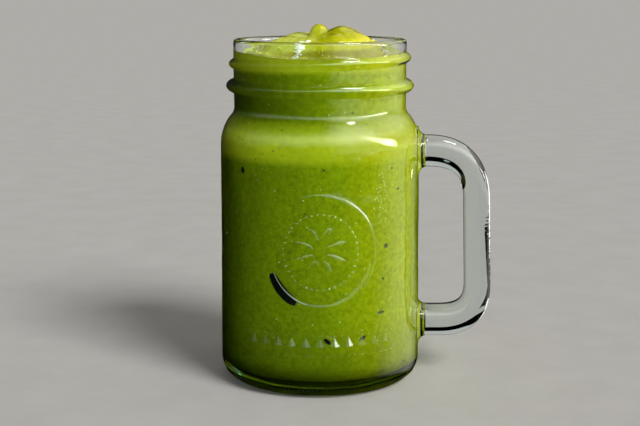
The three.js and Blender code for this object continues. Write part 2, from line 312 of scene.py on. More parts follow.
# Air bubbles against the glass: angle from the front, height, half width, half height, tilt (degrees and mm)
BUBBLES = [
    (-51.2, 85.2, 1.0, 1.25, 0),
    (41.6, 57.1, 1.0, 0.9, 0),
    (39.4, 44.7, 0.5, 0.5, 0),
    (38.1, 31.7, 1.7, 0.7, 5),
    (59.8, 9.6, 1.4, 0.5, 55),
    (46.4, 86.2, 0.45, 0.5, 0),
    (51.9, 78.1, 0.8, 0.5, 10),
    (2.0, 86.9, 0.5, 0.45, 0),
    (22.5, 107.1, 0.4, 0.4, 0),
]
BUBBLE_DEPTH = 0.7
FINE_BUBBLES = 300
FINE_BUBBLE_SIZES = (0.12 * MM, 0.34 * MM)
FINE_BUBBLE_CLEARANCE = 4 * MM
CLUSTER_BUBBLES = 60
CLUSTER_ANGLE = math.radians(38)
CLUSTER_SPREAD = 0.05
CLUSTER_HEIGHT = 76 * MM
CLUSTER_RISE = 5 * MM

# Air pockets behind two of the lozenges, lined with near black painted shade, in the same terms
SMALL_POCKETS = [
    (4.2, 22.4, 1.7, 0.8, -42),
    (25.2, 22.6, 1.8, 0.7, 40),
]

# Air pocket at the medallion's lower left, lined with near black painted shade, and the white line along it,
# a painted highlight: radius, half width, depth and ends
POCKET = (21.7 * MM, 2.1 * MM, 0.8 * MM, math.radians(203), math.radians(245))
GLINT_LINE = (20.9 * MM, 0.3 * MM, 0.12 * MM, math.radians(199), math.radians(268))
GLINT_LINE_SINK = 0.1 * MM
CRESCENT_BLUNTNESS = 2.5
CRESCENT_STEPS = 41
CRESCENT_SIDES = 16

# White streak on the mound, a painted highlight that stands in for a wet glint, with its ends in plan (mm)
GLINT_STREAK_ENDS = [(-5.0, -18.8), (-9.3, -23.6)]
GLINT_STREAK_BLOBS = 60
GLINT_STREAK_SPREAD = 0.6 * MM
GLINT_STREAK_HALF_WIDTH = (0.4 * MM, 1.0 * MM)
GLINT_STREAK_FLATNESS = 0.55

# Specks of leaf and froth
SPECKS = 700
SPECK_SIZES = (0.14 * MM, 0.5 * MM)
SPECK_THICKNESS = 0.12 * MM
SPECK_PROUD = 0.03 * MM
SPECK_CLEARANCE = 2 * MM
SPECK_SIZE_POWER = 0.6
SPECK_SLIMMEST = 0.5
FROTH = 420
FROTH_SIZES = (0.14 * MM, 0.42 * MM)
FROTH_SIZE_POWER = 0.5
FROTH_PLACE_POWER = 0.45
FROTH_REACH = 9 * MM

# Photograph's camera: distance in front of the jar's axis, height, downward tilt and focal length in pixels
IMAGE_WIDTH = 640
CAMERA_DISTANCE = 510 * MM
CAMERA_HEIGHT = 155.4 * MM
CAMERA_TILT = math.radians(10.09)
FOCAL_PIXELS = 1311
SENSOR_WIDTH = 36
CAMERA_CLIP = (0.01, 100)

# Floor and the even light on it: azimuth and elevation (degrees), strength, width of the source and colour
FLOOR_HALF = 30.0
FLOOR_COLOURS = ((0.50, 0.49, 0.475), (0.53, 0.52, 0.505))
FLOOR_ROUGHNESS = 0.8
FLOOR_LIGHT_FROM = (40, 40)
FLOOR_LIGHT_STRENGTH = 2.6
FLOOR_LIGHT_WIDTH = math.radians(25)
FLOOR_LIGHT_COLOUR = (1, 0.99, 0.97)

# Lamps for the pieces: name, azimuth and elevation (degrees), distance, size (m), power (W) and colour
LAMPS = [
    ("main", 24, 25, 1.2, (0.35, 0.35), 34, (0.77, 1, 0.95)),
    ("window", 98, 12, 1.05, (0.5, 0.42), 56, (1, 0.77, 0.6)),
    ("top", 0, 86, 1.2, (0.5, 0.5), 12, (1, 0.95, 0.85)),
]
LAMP_FADE_START = 0.45
LAMP_FADE_END = 1.0
WORLD_COLOUR = (1, 0.98, 0.95, 1)
WORLD_STRENGTH = 0.3

# Room that the glass mirrors
ROOM_RADIUS = 60.0
ROOM_CENTRE = AXIS + (0, 0, JAR_HEIGHT / 2)
ROOM_COLOUR = (1, 0.98, 0.9, 1)

# Glows of that room: strength, stops round it (degrees from the front) and up it (sine of the rise), lean
ROOM_GLOWS = [
    (
        7.5,
        [(-180, 0), (-110, 0.012), (-86, 0.14), (-28, 0.3), (8, 0.4), (34, 0)],
        [(0.12, 0), (0.3, 0.6), (0.44, 1), (0.54, 0.8), (0.68, 0.15), (0.76, 0)],
        0.0022,
    ),
    (
        6.0,
        [(4, 0), (34, 1), (66, 1), (84, 0.5), (116, 0.43), (150, 0.15), (180, 0.05)],
        [
            (0, 0), (0.14, 0.2), (0.26, 0.5), (0.4, 1), (0.57, 1),
            (0.7, 0.8), (0.8, 0.6), (0.9, 0.3), (0.95, 0),
        ],
        0,
    ),
    (
        1.4,
        [(8, 0), (30, 0.9), (75, 1), (115, 1), (150, 0)],
        [(-0.125, 0), (-0.095, 1), (-0.02, 1), (0.15, 0)],
        0,
    ),
    (
        1.0,
        [(62, 0), (78, 0.45), (96, 1), (125, 1), (150, 0)],
        [(-0.5, 0), (-0.4, 1), (-0.12, 1), (-0.1, 0)],
        0,
    ),
    (24.0, [(50, 0), (76, 0.6), (90, 1), (99, 0)], [(0, 0), (0.06, 1), (0.16, 1), (0.25, 0)], -0.009),
    (32.0, [(60, 0), (70, 1), (98, 1), (108, 0)], [(0.868, 0), (0.88, 1), (0.94, 1), (0.97, 0)], 0),
]

# Dark mat round the foot that shows only through the glass, with its edge turned up behind the foot
MAT_RISE = 0.05 * MM
MAT_REACH = 1.5
MAT_BACK = 0.3
MAT_SIDE = AXIS[0] + 20 * MM
MAT_RIGHT = AXIS[0] + 46 * MM
MAT_CORNER = -60 * MM
MAT_EDGE = 45 * MM
MAT_EDGE_RISE = 25 * MM
MAT_EDGE_LEFT = AXIS[0] - 60 * MM
MAT_EDGE_RIGHT = AXIS[0] + 36 * MM

# Pale walls that show only through the glass: name, ends (degrees), radius, low, high (m) and strength
GLOW_WALLS = [
    ("back_glow", 120, 220, 2.5, 0.6, 2.6, 0.5),
    ("left_glow", 190, 232, 0.14, 0.01, 0.08, 1.8),
]
GLOW_WALL_STEPS = 12
RAY_KINDS = ("camera", "diffuse", "glossy", "transmission", "volume_scatter", "shadow")


# Mesh helpers


def smooth_step(value, low, high):
    share = np.clip((value - low) / (high - low), 0, 1)
    return share * share * (3 - 2 * share)


def smooth_max(a, b, blend):
    near = np.maximum(blend - np.abs(a - b), 0) / blend
    return np.maximum(a, b) + near * near * blend / 4


def ripples(points, length, seed):
    """Soft unevenness of about one, either way, with bumps about a length apart."""
    draw = np.random.default_rng(seed)
    total = np.zeros(points.shape[:-1])
    for _ in range(RIPPLE_WAVES):
        heading = draw.normal(size=3)
        heading *= TURN / (length * draw.uniform(*RIPPLE_LENGTHS) * np.linalg.norm(heading))
        total += np.sin(points @ heading + draw.uniform(0, TURN))
    return total / math.sqrt(RIPPLE_WAVES / 2)


def add_object(name, data):
    piece = bpy.data.objects.new(name, data)
    bpy.context.scene.collection.objects.link(piece)
    return piece


def mesh_object(name, points, faces, *materials):
    mesh = bpy.data.meshes.new(name)
    mesh.from_pydata(np.asarray(points).tolist(), [], faces)
    mesh.shade_smooth()
    for material in materials:
        mesh.materials.append(material)
    return add_object(name, mesh)


def ring_quads(row, next_row, columns):
    """Quads between closed rings, from the first point of each ring and of the ring after it."""
    column = np.arange(columns)[None, :]
    after = (column + 1) % columns
    corners = [row + column, row + after, next_row + after, next_row + column]
    return np.stack(corners, axis=-1).reshape(-1, 4).tolist()


def ring_faces(rows, columns):
    """Faces of successive closed rings, with fans at the poles before the first and after the last."""
    row = np.arange(rows - 1)[:, None] * columns
    faces = ring_quads(row, row + columns, columns)
    pole = rows * columns
    end = (rows - 1) * columns
    for here in range(columns):
        there = (here + 1) % columns
        faces.append([pole, there, here])
        faces.append([pole + 1, end + here, end + there])
    return faces


def loop_faces(rows, columns):
    """Faces of successive closed rings, the last one running into the first."""
    row = np.arange(rows)[:, None] * columns
    return ring_quads(row, (row + columns) % (rows * columns), columns)


def turned_mesh(name, grid, first, last, *materials):
    """A skin of closed rings, from a pole at its first point to a pole at its last."""
    points = np.vstack([grid.reshape(-1, 3), first, last])
    return mesh_object(name, points, ring_faces(*grid.shape[:2]), *materials)


def ball(sides, rings):
    """Points and faces of a ball of radius one."""
    turn = np.linspace(0, TURN, sides, endpoint=False)[None, :]
    rise = np.linspace(-math.pi / 2, math.pi / 2, rings + 1)[1:-1, None]
    x, y, z = np.broadcast_arrays(np.cos(rise) * np.cos(turn), np.cos(rise) * np.sin(turn), np.sin(rise))
    points = np.stack([x, y, z], axis=-1).reshape(-1, 3)
    return np.vstack([points, (0, 0, -1), (0, 0, 1)]), ring_faces(rings - 1, sides)


def scattered(name, fineness, centres, frames, material):
    """Balls of given sides and rings, each stretched and turned by its frame, in one mesh."""
    points, faces = ball(*fineness)
    placed = np.einsum("pk,nkc->npc", points, frames) + centres[:, None, :]
    every = []
    for copy in range(len(centres)):
        start = copy * len(points)
        every += [[start + corner for corner in face] for face in faces]
    return mesh_object(name, placed.reshape(-1, 3), every, material)


def combined(piece, other, operation):
    """The first closed piece joined with the other, or cut by it."""
    modifier = piece.modifiers.new("combine", "BOOLEAN")
    modifier.operation = operation
    modifier.solver = "MANIFOLD"
    modifier.material_mode = "TRANSFER"
    modifier.object = other
    depsgraph = bpy.context.evaluated_depsgraph_get()
    whole = bpy.data.meshes.new_from_object(piece.evaluated_get(depsgraph))
    piece.modifiers.clear()
    piece.data = whole
    bpy.data.objects.remove(other)
    return piece


def dress(piece, slot, *nodes):
    PIECES.objects.link(piece)
    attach(piece, "root")
    for node in nodes:
        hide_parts(node)


def round_points(angles, radius, height):
    """Points round the jar's axis; an angle of 0 faces the front and grows towards the handle."""
    x, y, z = np.broadcast_arrays(radius * np.sin(angles), -radius * np.cos(angles), height)
    return np.stack([x, y, z], axis=-1) + AXIS


def wall_frames(angles, tilts, half_width, half_height, half_depth):
    """Frames on the wall: along it, up it and out of it, with their lengths."""
    zero = np.zeros_like(angles)
    along = np.stack([np.cos(angles), np.sin(angles), zero], axis=-1)
    up = np.stack([zero, zero, zero + 1], axis=-1)
    out = np.stack([np.sin(angles), -np.cos(angles), zero], axis=-1)
    turned = along * np.cos(tilts)[:, None] + up * np.sin(tilts)[:, None]
    raised = up * np.cos(tilts)[:, None] - along * np.sin(tilts)[:, None]
    lengths = np.stack(np.broadcast_arrays(half_width, half_height, half_depth), axis=-1)
    return np.stack([turned, raised, out], axis=1) * lengths[..., None]


def uneven_angles(front, front_steps, other_steps):
    """Angles round the axis, closer together within the given angle of the front."""
    close = np.linspace(-front, front, front_steps, endpoint=False)
    wide = np.linspace(front, TURN - front, other_steps, endpoint=False)
    return ((np.append(close, wide) + math.pi) % TURN - math.pi)[None, :]


def squared(value, squareness):
    """A sine or cosine pushed outwards, so that a ring drawn with it is a rounded square."""
    return np.sign(value) * np.abs(value) ** (2 / squareness)


def arc(centre_r, centre_z, reach_r, reach_z, start, end, steps):
    turn = np.linspace(start, end, steps + 1)
    return np.stack([centre_r + reach_r * np.cos(turn), centre_z + reach_z * np.sin(turn)], axis=-1)


def line(start, end, steps):
    return np.linspace(start, end, steps + 1)


def joined(*stretches):
    """Stretches of an outline in one, without repeated points."""
    points = np.vstack(stretches)
    step = np.linalg.norm(np.diff(points, axis=0), axis=1)
    return points[np.append(True, step > SAME_POINT)]


# Jar glass


def rib(across, power):
    """The section of a rounded rib that ends at minus one and one, the softer the higher its power."""
    return np.clip(1 - across**2, 0, 1) ** power


def shoulder(body_radius, curve, neck_radius, fillet, steps):
    centre = body_radius - curve
    turn = math.acos((neck_radius + fillet - centre) / (curve + fillet))
    fillet_r = centre + (curve + fillet) * math.cos(turn)
    fillet_z = SHOULDER_START + (curve + fillet) * math.sin(turn)
    return joined(
        arc(centre, SHOULDER_START, curve, curve, 0, turn, steps),
        arc(fillet_r, fillet_z, fillet, fillet, math.pi + turn, math.pi, steps // 2),
    )


def outside_outline():
    heel_centre = HEEL_RADIUS - HEEL_ROUND
    foot_inner = heel_centre - FOOT_RING_WIDTH
    lip_start = JAR_HEIGHT - LIP_ROUND
    bead_low = BEAD_HEIGHT - BEAD_HALF
    bead_high = BEAD_HEIGHT + BEAD_HALF
    thread_low = THREAD_HEIGHT - THREAD_PITCH
    thread_high = THREAD_HEIGHT + THREAD_PITCH
    across = np.linspace(-1, 1, BEAD_STEPS + 1)
    bead = (NECK_RADIUS + BEAD_REACH * rib(across, BEAD_POWER), BEAD_HEIGHT + BEAD_HALF * across)
    over = shoulder(SHOULDER_RADIUS, SHOULDER_ROUND, NECK_RADIUS, NECK_FILLET, SHOULDER_STEPS)
    return joined(
        arc(0, 0, foot_inner, PUSH_UP, math.pi / 2, 0, PUSH_UP_STEPS)[1:],
        line((foot_inner, 0), (heel_centre, 0), SHORT_STEPS),
        arc(heel_centre, HEEL_ROUND, HEEL_ROUND, HEEL_ROUND, -math.pi / 2, 0, HEEL_STEPS),
        line((HEEL_RADIUS, HEEL_ROUND), (SHOULDER_RADIUS, SHOULDER_START), BODY_STEPS),
        over,
        line(over[-1], (NECK_RADIUS, bead_low), NECK_STEPS),
        np.stack(bead, axis=-1),
        line((NECK_RADIUS, bead_high), (NECK_RADIUS, thread_low), BEAD_TO_THREAD_STEPS),
        line((NECK_RADIUS, thread_low), (NECK_RADIUS, thread_high), THREAD_STEPS),
        line((NECK_RADIUS, thread_high), (NECK_RADIUS, lip_start), SHORT_STEPS),
        arc(NECK_RADIUS - LIP_ROUND, lip_start, LIP_ROUND, LIP_ROUND, 0, math.pi / 2, LIP_STEPS),
    )


def inside_outline(bite, steps_up):
    """The inside of the glass from its floor to the neck, moved out into the wall by a bite."""
    heel_radius = HEEL_RADIUS - WALL + bite
    heel_round = INNER_HEEL_ROUND + bite
    floor = JAR_FLOOR - bite
    bore = NECK_RADIUS - NECK_WALL + bite
    shoulder_radius = SHOULDER_RADIUS - WALL + bite
    return joined(
        arc(
            heel_radius - heel_round, floor + heel_round, heel_round, heel_round,
            -math.pi / 2, 0, INNER_HEEL_STEPS,
        ),
        line((heel_radius, floor + heel_round), (shoulder_radius, SHOULDER_START), steps_up),
        shoulder(
            shoulder_radius, SHOULDER_ROUND - WALL + bite, bore, NECK_FILLET + NECK_WALL - bite,
            INNER_SHOULDER_STEPS,
        ),
    )


def body_radius(height):
    share = np.clip((height - HEEL_ROUND) / (SHOULDER_START - HEEL_ROUND), 0, 1)
    return HEEL_RADIUS + share * (SHOULDER_RADIUS - HEEL_RADIUS)


def glass_wave(skin):
    """Unevenness of the moulded glass at points of its outside."""
    long_wave = GLASS_WAVE * ripples(skin, GLASS_WAVE_LENGTH, GLASS_SEED)
    return long_wave + FINE_GLASS_WAVE * ripples(skin, FINE_GLASS_WAVE_LENGTH, FINE_GLASS_SEED)


def on_wall(across, up, out):
    """Points on the outside of the body: along its front, up it and out of it."""
    angles = across / body_radius(up)
    wave = glass_wave(round_points(angles, body_radius(up), up))
    return round_points(angles, body_radius(up) + wave + out, up)


def medallion_ring(material):
    """A rounded rib in a circle, closed by a root inside the wall."""
    turn = np.linspace(0, TURN, RING_SIDES, endpoint=False)[:, None]
    over = np.linspace(-1, 1, RING_STEPS + 1)
    across = np.append(over, [1, -1])[None, :]
    places, heights = np.array(RING_RELIEF).T
    relief = np.interp(turn, np.radians(places), heights * MM)
    root = np.full((len(turn), 2), -RELIEF_ROOT)
    lift = np.hstack([relief * rib(over, RING_POWER) - RELIEF_SINK, root])
    reach = MEDALLION_RADIUS + MEDALLION_HALF_WIDTH * across
    grid = on_wall(reach * np.cos(turn), MEDALLION_HEIGHT + reach * np.sin(turn), lift)
    return mesh_object("ring", grid.reshape(-1, 3), loop_faces(*grid.shape[:2]), material)


def medallion_circle(name, fineness, count, reach, half_length, half_width, relief, material):
    """Low raised caps of sunken balls in a circle inside the medallion's ring, pointing outwards."""
    turn = (np.arange(count) + 0.5) * TURN / count
    across = reach * np.cos(turn)
    up = MEDALLION_HEIGHT + reach * np.sin(turn)
    spread = math.sqrt(1 - ORNAMENT_SINK**2)
    depth = relief / (1 - ORNAMENT_SINK)
    frames = wall_frames(across / body_radius(up), turn, half_length / spread, half_width / spread, depth)
    return scattered(name, fineness, on_wall(across, up, -ORNAMENT_SINK * depth), frames, material)


def medallion_pearls(material):
    return medallion_circle(
        "pearls", PEARL_BALL, PEARL_COUNT, PEARL_CIRCLE,
        PEARL_RADIUS, PEARL_RADIUS, PEARL_RELIEF, material,
    )


def rosette(material):
    return medallion_circle(
        "petals", PETAL_BALL, ROSETTE_PETALS, PETAL_REACH,
        PETAL_HALF_LENGTH, PETAL_HALF_WIDTH, PETAL_RELIEF, material,
    )


def lozenges(material):
    across = (np.arange(LOZENGE_COUNT) - LOZENGE_COUNT // 2) * LOZENGE_SPACING
    up = np.full(LOZENGE_COUNT, LOZENGE_HEIGHT)
    sizes = (LOZENGE_HALF_WIDTH, LOZENGE_HALF_TALL, LOZENGE_RELIEF)
    frames = wall_frames(across / body_radius(up), 0 * across, *sizes)
    return scattered("lozenges", LOZENGE_BALL, on_wall(across, up, 0), frames, material)


def band_dots(material):
    """Two rows of small beads above and below the lozenges."""
    row = (np.arange(BAND_DOT_COUNT) - BAND_DOT_COUNT // 2) * BAND_DOT_SPACING
    across = np.append(row, row)
    up = np.repeat([LOZENGE_HEIGHT - BAND_DOT_RISE, LOZENGE_HEIGHT + BAND_DOT_RISE], BAND_DOT_COUNT)
    frames = np.broadcast_to(BAND_DOT_RADIUS * np.eye(3), (len(up), 3, 3))
    centres = on_wall(across, up, -BAND_DOT_SINK)
    return scattered("band_dots", DOT_BALL, centres, frames, material)


def thread_relief(angles, up):
    relief = np.zeros_like(angles * up)
    for turns in (-1, 0, 1):
        along = angles + turns * TURN
        grown = smooth_step(THREAD_TURN / 2 - np.abs(along), 0, THREAD_FADE)
        height = THREAD_HEIGHT + THREAD_PITCH * along / TURN
        relief = np.maximum(relief, THREAD_REACH * grown * rib((up - height) / THREAD_HALF, THREAD_POWER))
    return relief


def jar_body(material):
    outside = outside_outline()
    bore = NECK_RADIUS - NECK_WALL
    lip_start = JAR_HEIGHT - LIP_ROUND
    inside = inside_outline(0, INNER_BODY_STEPS)
    mouth = joined(
        arc(bore + LIP_ROUND, lip_start, LIP_ROUND, LIP_ROUND, math.pi / 2, math.pi, LIP_STEPS),
        line((bore, lip_start), inside[-1], BORE_STEPS),
    )
    floor = line(inside[0], (inside[0][0] * INNER_FLOOR_HOLE, JAR_FLOOR), INNER_FLOOR_STEPS)
    outline = joined(outside, mouth, inside[::-1], floor)
    angles = np.linspace(-math.pi, math.pi, JAR_SIDES, endpoint=False)[None, :]
    radius = outline[:, :1]
    height = outline[:, 1:]
    is_outside = (np.arange(len(outline)) < len(outside))[:, None]
    skin = round_points(angles, radius, height)
    outward = np.where(is_outside, thread_relief(angles, height) + glass_wave(skin), 0)
    grid = round_points(angles, radius + outward, height)
    return turned_mesh("jar", grid, AXIS + (0, 0, PUSH_UP), AXIS + (0, 0, JAR_FLOOR), material)


def bend(start, corner, end, steps):
    share = np.linspace(0, 1, steps + 1)[:, None]
    return (1 - share) ** 2 * start + 2 * share * (1 - share) * corner + share**2 * end


def handle_route():
    """The handle's middle line from one arm's plane to the other's, in X and Z from the jar's axis."""
    lean = (GRIP_BOTTOM_REACH - GRIP_TOP_REACH) / (HANDLE_TOP - HANDLE_BOTTOM)
    top_corner = np.array([GRIP_TOP_REACH, HANDLE_TOP])
    low_corner = np.array([GRIP_BOTTOM_REACH, HANDLE_BOTTOM])
    top_in = top_corner - (HANDLE_TOP_BEND, 0)
    top_out = top_corner + (lean * HANDLE_TOP_BEND, -HANDLE_TOP_BEND)
    low_in = low_corner + (-lean * HANDLE_BOTTOM_BEND, HANDLE_BOTTOM_BEND)
    low_out = low_corner - (HANDLE_BOTTOM_BEND, 0)
    return joined(
        line((ARM_PLANE, HANDLE_TOP), top_in, TOP_ARM_STEPS),
        bend(top_in, top_corner, top_out, TOP_BEND_STEPS),
        line(top_out, low_in, GRIP_STEPS),
        bend(low_in, low_corner, low_out, BOTTOM_BEND_STEPS),
        line(low_out, (ARM_PLANE, HANDLE_BOTTOM), BOTTOM_ARM_STEPS),
    )


def arm_rings(height, section, outward):
    """Rings of an arm from inside the wall out to the arm's plane, flared where it runs into the body."""
    rings = []
    for share in np.linspace(0, 1, ARM_RINGS) ** ARM_CROWDING:
        middle_gap = -ROOT_DEPTH + share * (ARM_PLANE - body_radius(height) + ROOT_DEPTH)
        short = ROOT_FILLET - np.clip(middle_gap, 0, ROOT_FILLET)
        flare = ROOT_FILLET - math.sqrt(ROOT_FILLET**2 - short**2)
        thick = (HANDLE_HALF_THICK + ARM_EXTRA + flare) * section[:, 0] * outward
        depth = (HANDLE_HALF_DEPTH + flare) * section[:, 1]
        z = height + thick
        buried = np.sqrt((body_radius(z) - ROOT_DEPTH) ** 2 - depth**2)
        rings.append(np.stack([buried + share * (ARM_PLANE - buried), depth, z], axis=-1))
    return rings


def handle_body(material):
    turn = -np.linspace(0, TURN, HANDLE_SIDES, endpoint=False)
    section = squared(np.stack([np.cos(turn), np.sin(turn)], axis=-1), HANDLE_SQUARENESS)
    route = handle_route()
    heading = np.gradient(route, axis=0)
    heading /= np.linalg.norm(heading, axis=1, keepdims=True)
    rings = arm_rings(HANDLE_TOP, section, 1)
    for (x, z), (run_x, run_z) in zip(route[1:-1], heading[1:-1]):
        depth = HANDLE_HALF_DEPTH * section[:, 1]
        level = np.stack([0 * depth, depth / CHILL_STRETCH, 0 * depth + z], axis=-1)
        chill = CHILL_WAVE * ripples(level, CHILL_WAVE_LENGTH, CHILL_SEED)
        chill *= np.clip(section[:, 0], 0, 1) * run_z**2
        thick = (HANDLE_HALF_THICK + ARM_EXTRA * run_x**2) * section[:, 0] + chill
        rings.append(np.stack([x - run_z * thick, depth, z + run_x * thick], axis=-1))
    rings += arm_rings(HANDLE_BOTTOM, section, -1)[::-1]
    grid = np.array(rings) + AXIS
    return turned_mesh("handle", grid, grid[0].mean(axis=0), grid[-1].mean(axis=0), material)


def foot_dots(material):
    """A row of small beads round the heel."""
    reach = HEEL_RADIUS - HEEL_ROUND + HEEL_ROUND * math.sin(FOOT_DOT_TURN)
    height = HEEL_ROUND - HEEL_ROUND * math.cos(FOOT_DOT_TURN)
    angles = np.linspace(0, TURN, int(TURN * reach / FOOT_DOT_SPACING), endpoint=False)
    centres = round_points(angles, reach - FOOT_DOT_SINK, height + FOOT_DOT_SINK)
    frames = np.broadcast_to(FOOT_DOT_RADIUS * np.eye(3), (len(centres), 3, 3))
    return scattered("foot_dots", FOOT_DOT_BALL, centres, frames, material)


def jar(material):
    piece = combined(jar_body(material), handle_body(material), "UNION")
    for ornament in (foot_dots, medallion_ring, medallion_pearls, rosette, lozenges, band_dots):
        piece = combined(piece, ornament(material), "UNION")
    piece.data.shade_smooth()
    piece.data.set_sharp_from_angle(angle=GLASS_SHARP_ANGLE)
    dress(piece, "glass", "jar")


# Smoothie


def from_line(start, end, x, y):
    """Distance in plan from a line between two points given in millimetres."""
    start = np.array(start) * MM
    run = np.array(end) * MM - start
    share = np.clip(((x - start[0]) * run[0] + (y - start[1]) * run[1]) / (run @ run), 0, 1)
    return np.hypot(x - start[0] - share * run[0], y - start[1] - share * run[1])


def fold_height(fold, x, y):
    start, end, crest, curve, slope = fold
    away = from_line(start, end, x, y)
    return crest * MM - slope * (np.hypot(away, curve * MM) - curve * MM)


def nub_height(x, y):
    """A round-topped nub whose sides go on down at the slope that its round part ends with."""
    away = from_line(NUB_START, NUB_END, x, y)
    rounded = np.minimum(away, NUB_ROUND_SHARE * NUB_RADIUS)
    slope = NUB_ROUND_SHARE / math.sqrt(1 - NUB_ROUND_SHARE**2)
    return NUB_TOP - NUB_RADIUS + np.sqrt(NUB_RADIUS**2 - rounded**2) - slope * (away - rounded)


def surface_height(x, y):
    from_centre = np.hypot(x - MOUND_CENTRE, y)
    crest = BED_CREST - BED_DROP * (from_centre / MOUND_FOOT) ** 2
    for fold in FOLDS:
        crest = smooth_max(crest, fold_height(fold, x, y), FOLD_BLEND)
    crest = smooth_max(crest, nub_height(x, y), NUB_BLEND)
    side = LEVEL + MOUND_SIDE_SLOPE * (MOUND_FOOT - from_centre)
    mound = -smooth_max(-crest, -side, MOUND_EDGE_BLEND)
    leftward = np.maximum(0, -x) / np.maximum(np.hypot(x, y), MM)
    height = smooth_max(mound, LEVEL + LEVEL_RISE * leftward**2, NUB_BLEND)
    plan = np.stack([x, y, 0 * x], axis=-1)
    height = height + TOP_WAVE * ripples(plan, TOP_WAVE_LENGTH, TOP_SEED)
    return height + FINE_TOP_WAVE * ripples(plan, FINE_TOP_WAVE_LENGTH, FINE_TOP_SEED)


def wall_spot(height):
    """Radius of the smoothie's side at a height."""
    outline = inside_outline(WALL_BITE, INNER_BODY_STEPS)
    return np.interp(height, outline[:, 1], outline[:, 0])


def air_cutter(spots, material):
    """Flattened balls of air against the wall, each an angle, a height, two half sizes and a tilt."""
    angles, heights, half_width, half_height, tilts = spots.T
    depth = BUBBLE_DEPTH * np.minimum(half_width, half_height)
    centres = round_points(angles, wall_spot(heights), heights)
    frames = wall_frames(angles, tilts, half_width, half_height, depth)
    return scattered("air", BUBBLE_BALL, centres, frames, material)


def listed_air(spots):
    return np.array(spots) * (math.radians(1), MM, MM, MM, math.radians(1))


def fine_air():
    """A sprinkling of fine bubbles, some of them in a cluster at the right of the front."""
    draw = np.random.default_rng(BUBBLE_SEED)
    fine = np.zeros((FINE_BUBBLES, 5))
    fine[:, 0] = draw.uniform(-math.pi, math.pi, FINE_BUBBLES)
    fine[:, 1] = draw.uniform(INNER_HEEL_ROUND + JAR_FLOOR, LEVEL - FINE_BUBBLE_CLEARANCE, FINE_BUBBLES)
    fine[:, 2] = draw.uniform(*FINE_BUBBLE_SIZES, FINE_BUBBLES)
    fine[:, 3] = fine[:, 2]
    fine[:CLUSTER_BUBBLES, 0] = CLUSTER_ANGLE + draw.normal(0, CLUSTER_SPREAD, CLUSTER_BUBBLES)
    fine[:CLUSTER_BUBBLES, 1] = CLUSTER_HEIGHT + draw.normal(0, CLUSTER_RISE, CLUSTER_BUBBLES)
    return fine


def crescent(name, sizes, sink, material):
    """A blunt-ended arc along the medallion's lower left, set in from the smoothie's side."""
    radius, half_width, half_depth, first, last = sizes
    share = np.linspace(-1, 1, CRESCENT_STEPS + 1)[1:-1]
    turn = first + (share + 1) / 2 * (last - first)
    taper = (1 - np.abs(share) ** CRESCENT_BLUNTNESS) ** (1 / CRESCENT_BLUNTNESS)
    around = -np.linspace(0, TURN, CRESCENT_SIDES, endpoint=False)
    reach = radius + half_width * taper[:, None] * np.cos(around)
    depth = half_depth * taper[:, None] * np.sin(around) - sink
    height = MEDALLION_HEIGHT + reach * np.sin(turn)[:, None]
    angles = reach * np.cos(turn)[:, None] / body_radius(height)
    grid = round_points(angles, wall_spot(height) + depth, height)
    return turned_mesh(name, grid, grid[0].mean(axis=0), grid[-1].mean(axis=0), material)


# Painted highlight: a thin white arc along the pocket that stands in for the ring's glint
def glint_line(material):
    dress(crescent("glint_line", GLINT_LINE, GLINT_LINE_SINK, material), "smoothie")


def glint_streak(material):
    """A white streak down the front of the mound, a painted highlight for a wet glint, made of small flat
    blobs.
    """
    draw = np.random.default_rng(STREAK_SEED)
    along = np.linspace(0, 1, GLINT_STREAK_BLOBS)[:, None]
    first, last = np.array(GLINT_STREAK_ENDS) * MM
    spots = first + (last - first) * along
    spots += draw.normal(0, GLINT_STREAK_SPREAD, (GLINT_STREAK_BLOBS, 2))
    places = np.column_stack([spots, surface_height(*spots.T)])
    sizes = draw.uniform(*GLINT_STREAK_HALF_WIDTH, GLINT_STREAK_BLOBS)[:, None, None]
    frames = sizes * np.diag([1, 1, GLINT_STREAK_FLATNESS])
    dress(scattered("glint_streak", DOT_BALL, places + AXIS, frames, material), "smoothie")


def smoothie_body(body_material, top_material):
    angles = uneven_angles(DRINK_FRONT, DRINK_FRONT_SIDES, DRINK_OTHER_SIDES)
    wall = inside_outline(WALL_BITE, DRINK_BODY_STEPS)
    floor = line((wall[0][0] * INNER_FLOOR_HOLE, wall[0][1]), wall[0], INNER_FLOOR_STEPS)[:-1]
    low = np.vstack([floor, wall])
    bore = wall[-1][0]
    edge = surface_height(bore * np.sin(angles), -bore * np.cos(angles))
    share = np.linspace(0, 1, DRINK_NECK_STEPS + 1)[1:, None]
    neck = low[-1][1] + share * (edge - low[-1][1])
    radius = (bore * np.linspace(1, 0, DRINK_TOP_STEPS + 1)[1:-1])[:, None]
    top = surface_height(radius * np.sin(angles), -radius * np.cos(angles))
    grid = np.vstack([
        round_points(angles, low[:, :1], low[:, 1:]),
        round_points(angles, bore, neck),
        round_points(angles, radius, top),
    ])
    peak = float(surface_height(np.array(0.0), np.array(0.0)))
    bottom = AXIS + (0, 0, low[0][1])
    piece = turned_mesh("smoothie", grid, bottom, AXIS + (0, 0, peak), body_material, top_material)
    rows, columns = grid.shape[:2]
    quads = (rows - 1) * columns
    on_top = np.arange(quads) // columns >= len(low) + len(share) - 1
    on_top = np.append(on_top, np.arange(2 * columns) % 2 == 1)
    piece.data.polygons.foreach_set("material_index", on_top.astype(np.int32))
    return piece


